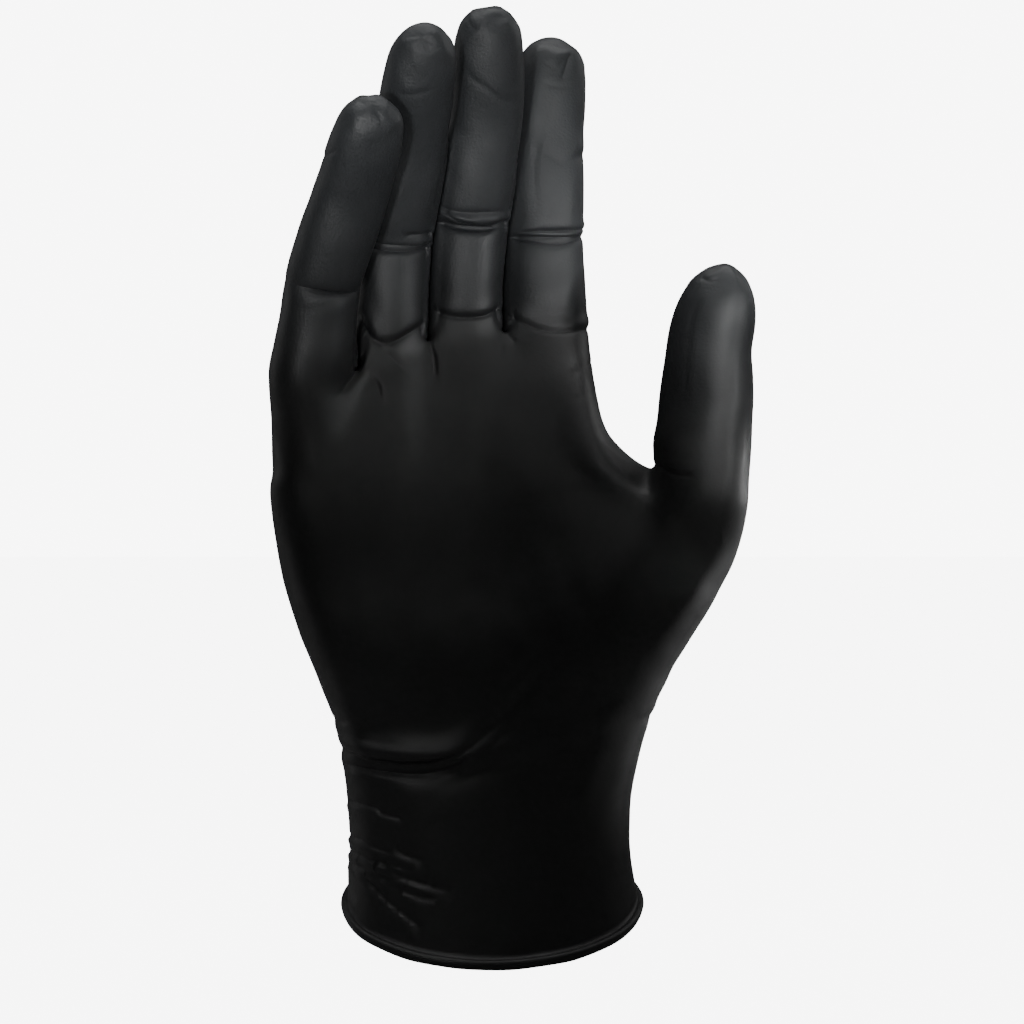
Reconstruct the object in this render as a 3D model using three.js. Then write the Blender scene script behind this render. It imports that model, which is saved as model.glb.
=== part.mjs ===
// A disposable nitrile exam glove for the right hand, in the form that it has when it is worn: one dipped
// film, hollow from the open cuff to the fingertips, with its edge rolled outwards into a bead.
// Millimetres, +Z towards the fingers, palm towards -Y, thumb on +X. The origin is the middle of the
// cuff's opening, level with the lowest point of its edge.
import * as THREE from "three";

// Driving dimensions of the film and the cuff.
const FILM = 1.0;
const BEAD_DIAMETER = 2.7;
const WRIST_WIDTH = 71;
const CUFF_RISE = 26; // how much higher the edge is at the back than at the palm

// Driving dimensions of the hand.
const HAND_WIDTH = 83; // across the four finger bases
const PALM_LENGTH = 160; // from the cuff's edge to the base of the middle finger
const PALM_DEPTH = 32;
const FINGER_LENGTH = 83.4; // of the middle finger
const FINGER_DEPTH = 17;

// Places as shares of those: across of the hand's width, forward of the palm's depth, up of the palm's
// length.
const MIDDLE_OUT = -0.083; // of the middle finger's base, towards the thumb
const LITTLE_SPREAD = 0.0145; // how far the palm's edge stands outside the little finger's base
const WEB_FRONT = 0.003; // how far the webs lie under the finger bases, at the palm's side
const WEB_MIDDLE = 0.019;
const WEB_BACK = 0.0625;
const THUMB_WEB = { out: 0.488, forward: 0.1875, rise: 0.778 };
const THUMB_PLACE = { out: 0.629, forward: 0.469, rise: 0.731 }; // of the middle of the thumb's base

// The fingers from the thumb's side, and then the thumb. length and drop are shares of the finger length,
// width and gap of the hand's width, depth of the finger depth. drop is how far the base lies under the
// middle finger's, root the width at the base as a share of the plain width, and gap and arch are the way
// to the next finger's base. Angles are in degrees: curl bends towards the palm and lean towards the thumb,
// each at the knuckle, the middle joint and the end joint, and turn rolls the finger about its length.
const FINGERS = [
  {
    length: 0.9, drop: 0.012, width: 0.234, depth: 1, root: 1.12, gap: 0.018,
    arch: 8, curl: [-1, 2, 3], lean: [-0.5, 1, 4], turn: 0,
  },
  {
    length: 1, drop: 0, width: 0.2265, depth: 1.03, root: 0.97, gap: 0.01,
    arch: 12, curl: [7, 12, 5], lean: [4, 6, -8], turn: 0,
  },
  {
    length: 1.037, drop: 0.06, width: 0.2265, depth: 1, root: 0.96, gap: 0.019,
    arch: 26, curl: [9, 18, 7], lean: [2.6, 9, -1], turn: 6,
  },
  {
    length: 0.923, drop: 0.156, width: 0.2265, depth: 1, root: 1.13, gap: 0,
    arch: 0, curl: [15, 10, 8], lean: [8, 12.5, -3], turn: 14,
  },
];
const THUMB = {
  length: 0.707, width: 0.287, depth: 1.176, root: 1.06,
  seat: 0, curl: [4, 5, 3], lean: [5, -2, 10], turn: -30,
};

// Rows of numbers under named columns.
const named = (columns, row) => Object.fromEntries(columns.map((name, i) => [name, row[i]]));
const table = (columns, rows) => rows.map((row) => named(columns, row));

// Sections of a finger and of the thumb. at is a share of the length, wide and deep are shares of the
// width and depth. crease draws the palm's side in by a share of the depth.
const SECTION_COLUMNS = ["at", "wide", "deep", "crease"];
const FINGER_SECTIONS = table(SECTION_COLUMNS, [
  [0, 1, 1.2, 0.06],
  [0.1, 0.98, 1.1, 0],
  [0.21, 0.97, 1.04, 0],
  [0.285, 0.98, 1.01, 0],
  [0.318, 0.985, 1.01, 0.08],
  [0.35, 1, 1, 0],
  [0.5, 1.02, 0.98, 0],
  [0.65, 0.99, 0.94, 0.03],
  [0.79, 0.97, 0.9, 0],
  [0.89, 0.89, 0.8, 0],
  [0.955, 0.68, 0.6, 0],
]);
const THUMB_SECTIONS = table(SECTION_COLUMNS, [
  [0, 1, 1.22, 0],
  [0.2, 1, 1.1, 0],
  [0.32, 1, 1.04, 0],
  [0.44, 1, 0.98, 0.03],
  [0.57, 0.94, 0.94, 0],
  [0.69, 0.9, 0.88, 0],
  [0.81, 0.84, 0.8, 0],
  [0.91, 0.66, 0.6, 0],
  [0.97, 0.38, 0.36, 0],
]);
const JOINTS = [0, 0.34, 0.66]; // the knuckle and the two finger joints, as shares of the length
const JOINT_SPREAD = 0.12; // the share of the length over which a joint bends
const ROOT_LENGTH = 0.42; // the share of the length over which the root's width and turn fade

// Sections of the cuff, wrist and palm under the thumb's web, and the last one at the web. rise and bow
// are shares of the palm's length, tilt of the cuff's rise, and front, back, cup, turn and pinch of the
// palm's depth. ulnar and radial are the way from the wrist's side (0) to the little finger's and thumb's
// outer side (1). round is the exponent of the section's oval, where 2 is an ellipse. cup brings both
// sides towards the palm, and turn the thumb's side. pinch draws a fold of the wrist in, and bow lifts
// its ends.
const OUTLINE_COLUMNS = ["rise", "ulnar", "radial", "front", "back", "round"];
const PALM_SECTIONS = table([...OUTLINE_COLUMNS, "cup", "turn", "tilt", "pinch", "bow"], [
  [0, 0.02, 0.07, 0.76, 0.76, 2, 0, 0, 1, 0, 0],
  [0.15, 0, 0.01, 0.74, 0.72, 2.2, 0, 0, 0.58, 0, 0.016],
  [0.262, 0.05, 0.18, 0.73, 0.67, 2.3, 0, 0, 0.22, -0.0125, 0.044],
  [0.298, 0.1, 0.31, 0.73, 0.64, 2.4, 0, 0, 0.14, 0.044, 0.056],
  [0.33, 0.15, 0.38, 0.74, 0.62, 2.5, 0, 0, 0.08, -0.025, 0.056],
  [0.372, 0.22, 0.46, 0.73, 0.6, 2.5, 0, -0.031, 0.04, 0.031, 0.05],
  [0.46, 0.48, 0.6, 0.72, 0.56, 2.5, -0.0625, -0.0625, 0, 0, 0.031],
  [0.55, 0.74, 0.77, 0.66, 0.53, 2.5, -0.125, -0.094, 0, 0, 0.016],
  [0.64, 0.91, 0.93, 0.6, 0.51, 2.5, -0.1875, -0.125, 0, 0, 0.006],
  [0.735, 1, 1, 0.52, 0.5, 2.5, -0.219, -0.0625, 0, 0, 0],
]);
const PINCH_END = [-0.5, 0.2]; // the shares across between which the wrist's folds die out
const BOW_CENTRE = -0.5; // the share across where the wrist's folds hang lowest
const CUFF_FRONT = PALM_DEPTH * PALM_SECTIONS[0].front;
const CUFF_BACK = PALM_DEPTH * PALM_SECTIONS[0].back;
// Sections between the thumb's web and the finger bases. rise is a share of the way up, draw and sink of
// the way from the lower outline to the upper, across and in depth.
const KNUCKLE_SECTIONS = table(["rise", "draw", "sink"], [
  [0.2, 0.58, 0.12],
  [0.45, 0.83, 0.3],
  [0.74, 0.94, 0.62],
]);
// Pads of the palm: their place across and up, their radius as a share of the hand's width, and how far
// they stand forward as a share of the palm's depth.
const PADS = table(["out", "rise", "reach", "swell"], [
  [0.41, 0.5375, 0.325, 0.156],
  [-0.458, 0.525, 0.289, 0.125],
  [-0.048, 0.7, 0.241, -0.109],
]);
const FINGER_ROUNDNESS = 2.2; // exponent of a finger's oval
// Shares across a loop under the web, of the thumb's outer side and of the next two points.
const THUMB_SHARES = [1, 0.93, 0.78];
const WEB_SHARE = 0.66; // across a loop under the web, of the palm's first column

const BEAD_RADIUS = BEAD_DIAMETER / 2;
const BEAD_START = Math.acos(FILM / BEAD_RADIUS - 1); // the angle at which the bead leaves the outside
const BEAD_REACH = BEAD_RADIUS * (1 + Math.sin(BEAD_START)); // how far the bead hangs under the edge
const BEAD_STEPS = 8;
const LINE_STEPS = 80; // in which a finger's middle line is followed
const FIT_ROUNDS = 12;
const MOST_STRETCH = 2.5; // how many times its thickness the film may reach at the bottom of a fold
const COLOUR = 0x17191b;

const radians = THREE.MathUtils.degToRad;
const mix = THREE.MathUtils.lerp;

// The half height of a flattened oval at a share across (-1 to 1).
const oval = (across, roundness) => Math.pow(1 - Math.pow(Math.abs(across), roundness), 1 / roundness);

// A cage is a list of points and a list of four-sided faces, whose corners turn anticlockwise seen from
// outside.
const cage = { points: [], faces: [] };

function addPoint(point) {
  cage.points.push(point);
  return cage.points.length - 1;
}

// Joins two loops of as many points, the second one higher.
function sew(lower, upper) {
  lower.forEach((corner, i) => {
    const next = (i + 1) % lower.length;
    cage.faces.push([corner, lower[next], upper[next], upper[i]]);
  });
}

// Where a finger's middle is and which way it points, at small steps along its length.
function centreline(finger, base) {
  const bendAt = (angles, share) =>
    angles.reduce((sum, angle, i) => {
      const start = JOINTS[i] - (i ? JOINT_SPREAD / 2 : JOINT_SPREAD);
      return sum + angle * THREE.MathUtils.smoothstep(share, start, start + JOINT_SPREAD);
    }, 0);
  const places = [];
  const middle = base.clone();
  for (let i = 0; i <= LINE_STEPS; i++) {
    const curl = radians(bendAt(finger.curl, i / LINE_STEPS));
    const lean = radians(bendAt(finger.lean, i / LINE_STEPS));
    const along = new THREE.Vector3(Math.sin(lean), -Math.tan(curl), Math.cos(lean)).normalize();
    places.push({ middle: middle.clone(), along });
    middle.addScaledVector(along, (finger.length * FINGER_LENGTH) / LINE_STEPS);
  }
  return (share) => {
    const i = Math.min(Math.floor(share * LINE_STEPS), LINE_STEPS - 1);
    const rest = share * LINE_STEPS - i;
    return {
      middle: places[i].middle.clone().lerp(places[i + 1].middle, rest),
      along: places[i].along.clone().lerp(places[i + 1].along, rest).normalize(),
    };
  };
}

// How wide and deep a finger is at a section: its root blends into the plain width.
const rootAt = (finger, section) => {
  return mix(finger.root, 1, THREE.MathUtils.smoothstep(section.at, 0, ROOT_LENGTH));
};
const widthAt = (finger, section) => HAND_WIDTH * finger.width * section.wide * rootAt(finger, section);
const depthAt = (finger, section) => FINGER_DEPTH * finger.depth * section.deep;

// The eight points of a finger's section, from the thumb's side round by the back.
const FINGER_POINTS = 8;
function fingerSection(finger, place, section) {
  const side = new THREE.Vector3(1, 0, 0).addScaledVector(place.along, -place.along.x).normalize();
  const turn = mix(finger.seat, finger.turn, THREE.MathUtils.smoothstep(section.at, 0, ROOT_LENGTH));
  side.applyAxisAngle(place.along, radians(turn));
  const back = place.along.clone().cross(side);
  return Array.from({ length: FINGER_POINTS }, (_, i) => {
    const angle = (i / FINGER_POINTS) * 2 * Math.PI;
    const powers = [Math.cos(angle), Math.sin(angle)].map((value) => Math.abs(value) ** FINGER_ROUNDNESS);
    const bulge = (powers[0] + powers[1]) ** (-1 / FINGER_ROUNDNESS);
    const draw = 1 - 2 * section.crease * Math.max(0, -Math.sin(angle));
    return place.middle
      .clone()
      .addScaledVector(side, (Math.cos(angle) * bulge * widthAt(finger, section)) / 2)
      .addScaledVector(back, (Math.sin(angle) * bulge * draw * depthAt(finger, section)) / 2);
  });
}

// Grows a finger from the loop at its base and closes its tip.
function growFinger(finger, line, sections, base) {
  let lower = base;
  for (const section of sections.slice(1)) {
    const upper = fingerSection(finger, line(section.at), section).map(addPoint);
    sew(lower, upper);
    lower = upper;
  }
  const tip = addPoint(line(1).middle);
  for (let i = 0; i < FINGER_POINTS; i += 2) {
    cage.faces.push([lower[i], lower[i + 1], lower[(i + 2) % FINGER_POINTS], tip]);
  }
}

// The bases of the fingers stand side by side along the arched row of knuckles.
const bases = [];
const baseWidth = (finger) => HAND_WIDTH * finger.width * finger.root;
FINGERS.forEach((finger, i) => {
  // A base faces between the ways to its two neighbours.
  const [before, after] = [Math.max(i - 1, 0), Math.min(i, FINGERS.length - 2)];
  finger.seat = (FINGERS[before].arch + FINGERS[after].arch) / 2;
  if (i === 0) {
    bases.push(new THREE.Vector3());
    return;
  }
  const neighbour = FINGERS[i - 1];
  const apart = (baseWidth(neighbour) + baseWidth(finger)) / 2 + HAND_WIDTH * neighbour.gap;
  const arch = radians(neighbour.arch);
  const way = new THREE.Vector3(-Math.cos(arch), -Math.sin(arch), 0);
  bases.push(way.multiplyScalar(apart).add(bases[i - 1]));
});
const toMiddle = new THREE.Vector3(HAND_WIDTH * MIDDLE_OUT, 0, 0).sub(bases[1]);
bases.forEach((base, i) => {
  base.add(toMiddle);
  base.z = PALM_LENGTH - FINGER_LENGTH * FINGERS[i].drop;
});
const fingerLines = FINGERS.map((finger, i) => centreline(finger, bases[i]));
const fingerBases = FINGERS.map((finger, i) => {
  return fingerSection(finger, fingerLines[i](0), FINGER_SECTIONS[0]);
});
const placed = ({ out, forward, rise }) =>
  new THREE.Vector3(HAND_WIDTH * out, -PALM_DEPTH * forward, PALM_LENGTH * rise);
const thumbLine = centreline(THUMB, placed(THUMB_PLACE));
const thumbLoop = fingerSection(THUMB, thumbLine(0), THUMB_SECTIONS[0]);

const ulnarSide = fingerBases[3][4].x - HAND_WIDTH * LITTLE_SPREAD;
const thumbSide = Math.max(...thumbLoop.map((p) => p.x));

// How far the pads stand forward at a point of the palm, as a share of its depth.
function padSwell(x, z) {
  const away = (pad) => {
    return Math.hypot(x - HAND_WIDTH * pad.out, z - PALM_LENGTH * pad.rise) / (HAND_WIDTH * pad.reach);
  };
  return PADS.reduce((sum, pad) => sum + pad.swell * Math.exp(-(away(pad) ** 2)), 0);
}

// A point of a palm section, at a share across from the little finger's side (-1) to the thumb's (1).
function palmPoint(section, left, right, across, facing) {
  const x = mix(left, right, (across + 1) / 2);
  const z = section.rise * PALM_LENGTH;
  const middle = section.cup * across ** 2 + section.turn * across;
  const half = oval(across, section.round);
  const pinch = section.pinch * (1 - THREE.MathUtils.smoothstep(across, ...PINCH_END));
  const front = section.front + padSwell(x, z) - pinch;
  const y = PALM_DEPTH * (facing < 0 ? middle - half * front : middle + half * section.back);
  const bowAt = (share) => section.bow * (share - BOW_CENTRE) ** 2;
  const bow = facing < 0 ? bowAt(across) : mix(bowAt(-1), bowAt(1), (across + 1) / 2);
  // The edge is lowest at the palm, where the bead touches the level of the origin.
  const slant = BEAD_REACH + (CUFF_RISE * (y + CUFF_FRONT)) / (CUFF_FRONT + CUFF_BACK);
  return new THREE.Vector3(x, y, z + PALM_LENGTH * bow + section.tilt * slant);
}

// The palm's columns of points, at shares across from the thumb's side: two for each finger and the last
// one's edge.
const columnX = [];
fingerBases.forEach((loop, k) => {
  if (k === 0) columnX.push(mix(loop[1].x, loop[7].x, 0.5));
  columnX.push(loop[2].x * 0.5 + loop[6].x * 0.5);
  const outer = (loop[3].x + loop[5].x) / 2;
  columnX.push(k < 3 ? (outer + (fingerBases[k + 1][1].x + fingerBases[k + 1][7].x) / 2) / 2 : outer);
});
const indexSide = fingerBases[0][0].x;
const columnShare = columnX.map((x) => mix(-1, 1, (x - ulnarSide) / (indexSide - ulnarSide)));

// A loop under the thumb's web has the thumb's five outer points and then the palm's columns.
function lowerLoop(section, left, right) {
  const palmShare = columnShare.map((share) => mix(-1, WEB_SHARE, (share + 1) / 2));
  return [
    palmPoint(section, left, right, 1, 1),
    palmPoint(section, left, right, THUMB_SHARES[1], 1),
    palmPoint(section, left, right, THUMB_SHARES[2], 1),
    ...palmShare.map((share) => palmPoint(section, left, right, share, 1)),
    palmPoint(section, left, right, -1, 1),
    ...[...palmShare].reverse().map((share) => palmPoint(section, left, right, share, -1)),
    palmPoint(section, left, right, THUMB_SHARES[2], -1),
    palmPoint(section, left, right, THUMB_SHARES[1], -1),
  ];
}

const wristHalf = WRIST_WIDTH / 2;
const lowerLoops = PALM_SECTIONS.slice(0, -1).map((section) => {
  const left = mix(-wristHalf, ulnarSide, section.ulnar);
  const right = mix(wristHalf, thumbSide, section.radial);
  return lowerLoop(section, left, right).map(addPoint);
});
lowerLoops.slice(1).forEach((loop, i) => sew(lowerLoops[i], loop));

// The loop at the thumb's web, where the palm and the thumb part: the web's point and the palm's columns
// round it.
const split = PALM_SECTIONS.at(-1);
const webPoint = placed(THUMB_WEB);
const palmLoop = [
  webPoint,
  ...columnShare.map((share) => palmPoint(split, ulnarSide, webPoint.x, share, 1)),
  palmPoint(split, ulnarSide, webPoint.x, -1, 1),
  ...[...columnShare].reverse().map((share) => palmPoint(split, ulnarSide, webPoint.x, share, -1)),
];
// The points beside the web's are shared with the thumb's loop.
palmLoop[1].lerp(thumbLoop[3], 0.5);
palmLoop.at(-1).lerp(thumbLoop[5], 0.5);
const palmRing = palmLoop.map(addPoint);
const thumbRing = thumbLoop.map((point, i) => {
  if (i === 3) return palmRing[1];
  if (i === 4) return palmRing[0];
  if (i === 5) return palmRing.at(-1);
  return addPoint(point);
});
sew(lowerLoops.at(-1), [
  thumbRing[0], thumbRing[1], thumbRing[2],
  ...palmRing.slice(1),
  thumbRing[6], thumbRing[7],
]);
growFinger(THUMB, thumbLine, THUMB_SECTIONS, thumbRing);

// The loop at the finger bases: neighbouring fingers share the three points of the web between them.
const socket = fingerBases.map((loop) => loop.map((p) => p.clone()));
for (let k = 0; k < 3; k++) {
  const [a, b] = [socket[k], socket[k + 1]];
  [[3, 1, WEB_BACK], [4, 0, WEB_MIDDLE], [5, 7, WEB_FRONT]].forEach(([i, j, drop]) => {
    a[i].lerp(b[j], 0.5);
    a[i].z -= PALM_LENGTH * drop;
    b[j].copy(a[i]);
  });
}
const socketRings = [];
socket.forEach((loop, k) => {
  socketRings.push(
    loop.map((point, i) => {
      if (k > 0 && i === 0) return socketRings[k - 1][4];
      if (k > 0 && i === 1) return socketRings[k - 1][3];
      if (k > 0 && i === 7) return socketRings[k - 1][5];
      return addPoint(point);
    }),
  );
});
const topRing = [socketRings[0][0]];
socketRings.forEach((ring, k) => topRing.push(...(k === 0 ? [ring[1]] : []), ring[2], ring[3]));
topRing.push(socketRings[3][4]);
[...socketRings].reverse().forEach((ring, k) => {
  topRing.push(...(k === 0 ? [ring[5]] : []), ring[6], ring[7]);
});

let below = palmRing;
for (const section of KNUCKLE_SECTIONS) {
  const ring = palmRing.map((from, i) => {
    const a = cage.points[from];
    const b = cage.points[topRing[i]];
    const { draw, sink, rise } = section;
    const [x, y, z] = [mix(a.x, b.x, draw), mix(a.y, b.y, sink), mix(a.z, b.z, rise)];
    return addPoint(new THREE.Vector3(x, y, z));
  });
  sew(below, ring);
  below = ring;
}
sew(below, topRing);
FINGERS.forEach((finger, k) => growFinger(finger, fingerLines[k], FINGER_SECTIONS, socketRings[k]));

// The neighbours of each point: edges with their faces.
function edgesOf(mesh) {
  const edges = new Map();
  mesh.faces.forEach((face, f) => {
    face.forEach((a, i) => {
      const b = face[(i + 1) % 4];
      const key = a < b ? `${a},${b}` : `${b},${a}`;
      if (!edges.has(key)) edges.set(key, { a, b, faces: [] });
      edges.get(key).faces.push(f);
    });
  });
  return edges;
}

// Where the smooth surface of a cage passes nearest to each of its points.
function limitPoints(mesh, edges) {
  const count = mesh.points.length;
  const valence = new Array(count).fill(0);
  const around = mesh.points.map(() => new THREE.Vector3());
  const across = mesh.points.map(() => new THREE.Vector3());
  const rim = mesh.points.map(() => null);
  for (const { a, b, faces } of edges.values()) {
    valence[a]++;
    valence[b]++;
    around[a].add(mesh.points[b]);
    around[b].add(mesh.points[a]);
    if (faces.length === 1) {
      rim[a] = (rim[a] || new THREE.Vector3()).add(mesh.points[b]);
      rim[b] = (rim[b] || new THREE.Vector3()).add(mesh.points[a]);
    }
  }
  mesh.faces.forEach((face) => face.forEach((a, i) => across[a].add(mesh.points[face[(i + 2) % 4]])));
  return mesh.points.map((point, i) => {
    if (rim[i]) return point.clone().multiplyScalar(4).add(rim[i]).divideScalar(6);
    const n = valence[i];
    const sum = point.clone().multiplyScalar(n * n).addScaledVector(around[i], 4).add(across[i]);
    return sum.divideScalar(n * (n + 5));
  });
}

// Moves a cage's points until its smooth surface passes through the places that they were given.
function fit(mesh) {
  const edges = edgesOf(mesh);
  const targets = mesh.points.map((p) => p.clone());
  for (let round = 0; round < FIT_ROUNDS; round++) {
    limitPoints(mesh, edges).forEach((limit, i) => mesh.points[i].add(targets[i]).sub(limit));
  }
}

// One step of Catmull-Clark subdivision.
function subdivide(mesh) {
  const edges = edgesOf(mesh);
  const facePoints = mesh.faces.map((face) =>
    face.reduce((sum, i) => sum.add(mesh.points[i]), new THREE.Vector3()).divideScalar(4),
  );
  const count = mesh.points.length;
  const valence = new Array(count).fill(0);
  const edgeSum = mesh.points.map(() => new THREE.Vector3());
  const faceSum = mesh.points.map(() => new THREE.Vector3());
  const rim = mesh.points.map(() => null);
  const edgePoints = [];
  for (const edge of edges.values()) {
    const middle = mesh.points[edge.a].clone().lerp(mesh.points[edge.b], 0.5);
    edge.index = edgePoints.length;
    for (const [end, other] of [[edge.a, edge.b], [edge.b, edge.a]]) {
      valence[end]++;
      edgeSum[end].add(middle);
      if (edge.faces.length === 1) rim[end] = (rim[end] || new THREE.Vector3()).add(mesh.points[other]);
    }
    if (edge.faces.length === 1) edgePoints.push(middle);
    else {
      const faces = facePoints[edge.faces[0]].clone().lerp(facePoints[edge.faces[1]], 0.5);
      edgePoints.push(middle.lerp(faces, 0.5));
    }
  }
  mesh.faces.forEach((face, f) => face.forEach((i) => faceSum[i].add(facePoints[f])));
  const moved = mesh.points.map((point, i) => {
    if (rim[i]) return point.clone().multiplyScalar(6).add(rim[i]).divideScalar(8);
    const n = valence[i];
    return point
      .clone()
      .multiplyScalar(n - 3)
      .addScaledVector(edgeSum[i], 2 / n)
      .addScaledVector(faceSum[i], 1 / n)
      .divideScalar(n);
  });
  const edgeAt = (a, b) => count + edges.get(a < b ? `${a},${b}` : `${b},${a}`).index;
  const faces = [];
  mesh.faces.forEach((face, f) => {
    const centre = count + edgePoints.length + f;
    face.forEach((corner, i) => {
      faces.push([corner, edgeAt(corner, face[(i + 1) % 4]), centre, edgeAt(face[(i + 3) % 4], corner)]);
    });
  });
  return { points: [...moved, ...edgePoints, ...facePoints], faces };
}

// For each point, the outward direction, lengthened in a tight fold so that a surface moved along it by a
// distance stays that far from the faces on both sides.
function offsetDirections(mesh) {
  const sums = mesh.points.map(() => new THREE.Vector3());
  const counts = mesh.points.map(() => 0);
  for (const face of mesh.faces) {
    const [a, b, c, d] = face.map((i) => mesh.points[i]);
    const normal = c.clone().sub(a).cross(d.clone().sub(b)).normalize();
    for (const i of face) {
      sums[i].add(normal);
      counts[i]++;
    }
  }
  return sums.map((sum, i) => {
    const agreement = sum.length() / counts[i];
    return sum.normalize().divideScalar(Math.max(agreement, 1 / MOST_STRETCH));
  });
}

// The film: the smooth outside, the same surface one film's thickness further in, and the rolled bead
// between them.
function filmGeometry() {
  fit(cage);
  const smooth = subdivide(cage);
  smooth.points = limitPoints(smooth, edgesOf(smooth));
  const outward = offsetDirections(smooth);
  const count = smooth.points.length;
  const inner = smooth.points.map((point, i) => point.clone().addScaledVector(outward[i], -FILM));
  const positions = [...smooth.points, ...inner];
  // The inside's faces turn the other way round and are split along the same diagonals.
  const inside = smooth.faces.map(([a, b, c, d]) => [a + count, d + count, c + count, b + count]);
  const faces = [...smooth.faces, ...inside];

  // The rim in order: each open edge leads to the next.
  const next = new Map();
  for (const { a, b, faces: sides } of edgesOf(smooth).values()) {
    if (sides.length === 1) {
      const face = smooth.faces[sides[0]];
      const forward = face[(face.indexOf(a) + 1) % 4] === b;
      if (forward) next.set(a, b);
      else next.set(b, a);
    }
  }
  const rim = [next.keys().next().value];
  while (next.get(rim.at(-1)) !== rim[0]) rim.push(next.get(rim.at(-1)));

  const loops = [rim];
  for (let step = 1; step < BEAD_STEPS; step++) {
    const angle = mix(BEAD_START, -Math.PI, step / (BEAD_STEPS - 1));
    loops.push(
      rim.map((i) => {
        const out = outward[i].clone().setZ(0).normalize();
        const point = smooth.points[i].clone();
        point.addScaledVector(out, BEAD_RADIUS * (1 + Math.cos(angle)) - FILM);
        point.z += BEAD_RADIUS * (1 + Math.sin(angle)) - BEAD_REACH;
        positions.push(point);
        return positions.length - 1;
      }),
    );
  }
  loops.push(rim.map((i) => i + count));
  for (let l = 0; l + 1 < loops.length; l++) {
    rim.forEach((_, i) => {
      const j = (i + 1) % rim.length;
      faces.push([loops[l][j], loops[l][i], loops[l + 1][i], loops[l + 1][j]]);
    });
  }

  const geometry = new THREE.BufferGeometry();
  const numbers = positions.flatMap((point) => point.toArray());
  geometry.setAttribute("position", new THREE.Float32BufferAttribute(numbers, 3));
  geometry.setIndex(faces.flatMap(([a, b, c, d]) => [a, b, c, a, c, d]));
  geometry.computeVertexNormals();
  return geometry;
}

const glove = new THREE.Group();
const nitrile = new THREE.MeshStandardMaterial({ color: COLOUR, roughness: 0.55, metalness: 0 });
const film = new THREE.Mesh(filmGeometry(), nitrile);
film.name = "nitrile_glove";
glove.add(film);

export default glove;
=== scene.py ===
import math

import bpy
import numpy as np
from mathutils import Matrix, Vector, kdtree, noise


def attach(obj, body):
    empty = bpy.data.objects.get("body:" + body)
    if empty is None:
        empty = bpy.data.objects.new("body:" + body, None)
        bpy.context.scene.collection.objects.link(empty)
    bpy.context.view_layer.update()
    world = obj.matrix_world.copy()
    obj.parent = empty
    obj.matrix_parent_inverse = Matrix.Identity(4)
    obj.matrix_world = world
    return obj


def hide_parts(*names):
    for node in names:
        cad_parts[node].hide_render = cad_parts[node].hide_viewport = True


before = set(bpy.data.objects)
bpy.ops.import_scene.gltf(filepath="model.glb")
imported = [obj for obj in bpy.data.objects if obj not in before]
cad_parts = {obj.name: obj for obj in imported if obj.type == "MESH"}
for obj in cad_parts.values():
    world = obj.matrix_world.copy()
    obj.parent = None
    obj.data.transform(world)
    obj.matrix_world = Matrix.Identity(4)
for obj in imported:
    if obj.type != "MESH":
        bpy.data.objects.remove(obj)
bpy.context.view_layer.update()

# Driving sizes of the film, the cuff and the hand in millimetres, which the frame has in metres.
MM = 0.001
FILM = 1.0
BEAD_DIAMETER = 2.7
WRIST_WIDTH = 71
CUFF_RISE = 26
HAND_WIDTH = 83
PALM_LENGTH = 160
PALM_DEPTH = 32
FINGER_LENGTH = 83.4
FINGER_DEPTH = 17

# Places as shares of the hand's width, the palm's depth and the palm's length.
MIDDLE_OUT = -0.083
LITTLE_SPREAD = 0.0145
WEB_FRONT, WEB_MIDDLE, WEB_BACK = 0.003, 0.019, 0.0625
THUMB_WEB = (0.488, 0.1875, 0.778)
THUMB_PLACE = (0.629, 0.469, 0.731)

# The four fingers from the thumb's side, and the thumb, as shares of the sizes above. Angles are in
# degrees: the arch of the knuckles to the next finger, the curl and the lean at each joint, and the turn.
FINGER_COLUMNS = ("name", "length", "drop", "width", "depth", "root", "gap", "arch", "curl", "lean", "turn")
FINGERS = [
    ("index", 0.9, 0.012, 0.234, 1, 1.12, 0.018, 8, (-1, 2, 3), (-0.5, 1, 4), 0),
    ("middle", 1, 0, 0.2265, 1.03, 0.97, 0.01, 12, (7, 12, 5), (4, 6, -8), 0),
    ("ring", 1.037, 0.06, 0.2265, 1, 0.96, 0.019, 26, (9, 18, 7), (2.6, 9, -1), 6),
    ("little", 0.923, 0.156, 0.2265, 1, 1.13, 0, 0, (15, 10, 8), (8, 12.5, -3), 14),
]
FINGERS = [dict(zip(FINGER_COLUMNS, row)) for row in FINGERS]
THUMB = {
    "name": "thumb", "length": 0.707, "width": 0.287, "depth": 1.176, "root": 1.06,
    "seat": 0, "curl": (4, 5, 3), "lean": (5, -2, 10), "turn": -30,
}

# Sections of a finger and of the thumb: the place along it, the shares of its width and its depth, and how
# much of the depth a crease takes away in front.
FINGER_SECTIONS = [
    (0, 1, 1.2, 0.06),
    (0.1, 0.98, 1.1, 0),
    (0.21, 0.97, 1.04, 0),
    (0.285, 0.98, 1.01, 0),
    (0.318, 0.985, 1.01, 0.08),
    (0.35, 1, 1, 0),
    (0.5, 1.02, 0.98, 0),
    (0.65, 0.99, 0.94, 0.03),
    (0.79, 0.97, 0.9, 0),
    (0.89, 0.89, 0.8, 0),
    (0.955, 0.68, 0.6, 0),
]
THUMB_SECTIONS = [
    (0, 1, 1.22, 0),
    (0.2, 1, 1.1, 0),
    (0.32, 1, 1.04, 0),
    (0.44, 1, 0.98, 0.03),
    (0.57, 0.94, 0.94, 0),
    (0.69, 0.9, 0.88, 0),
    (0.81, 0.84, 0.8, 0),
    (0.91, 0.66, 0.6, 0),
    (0.97, 0.38, 0.36, 0),
]
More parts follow.
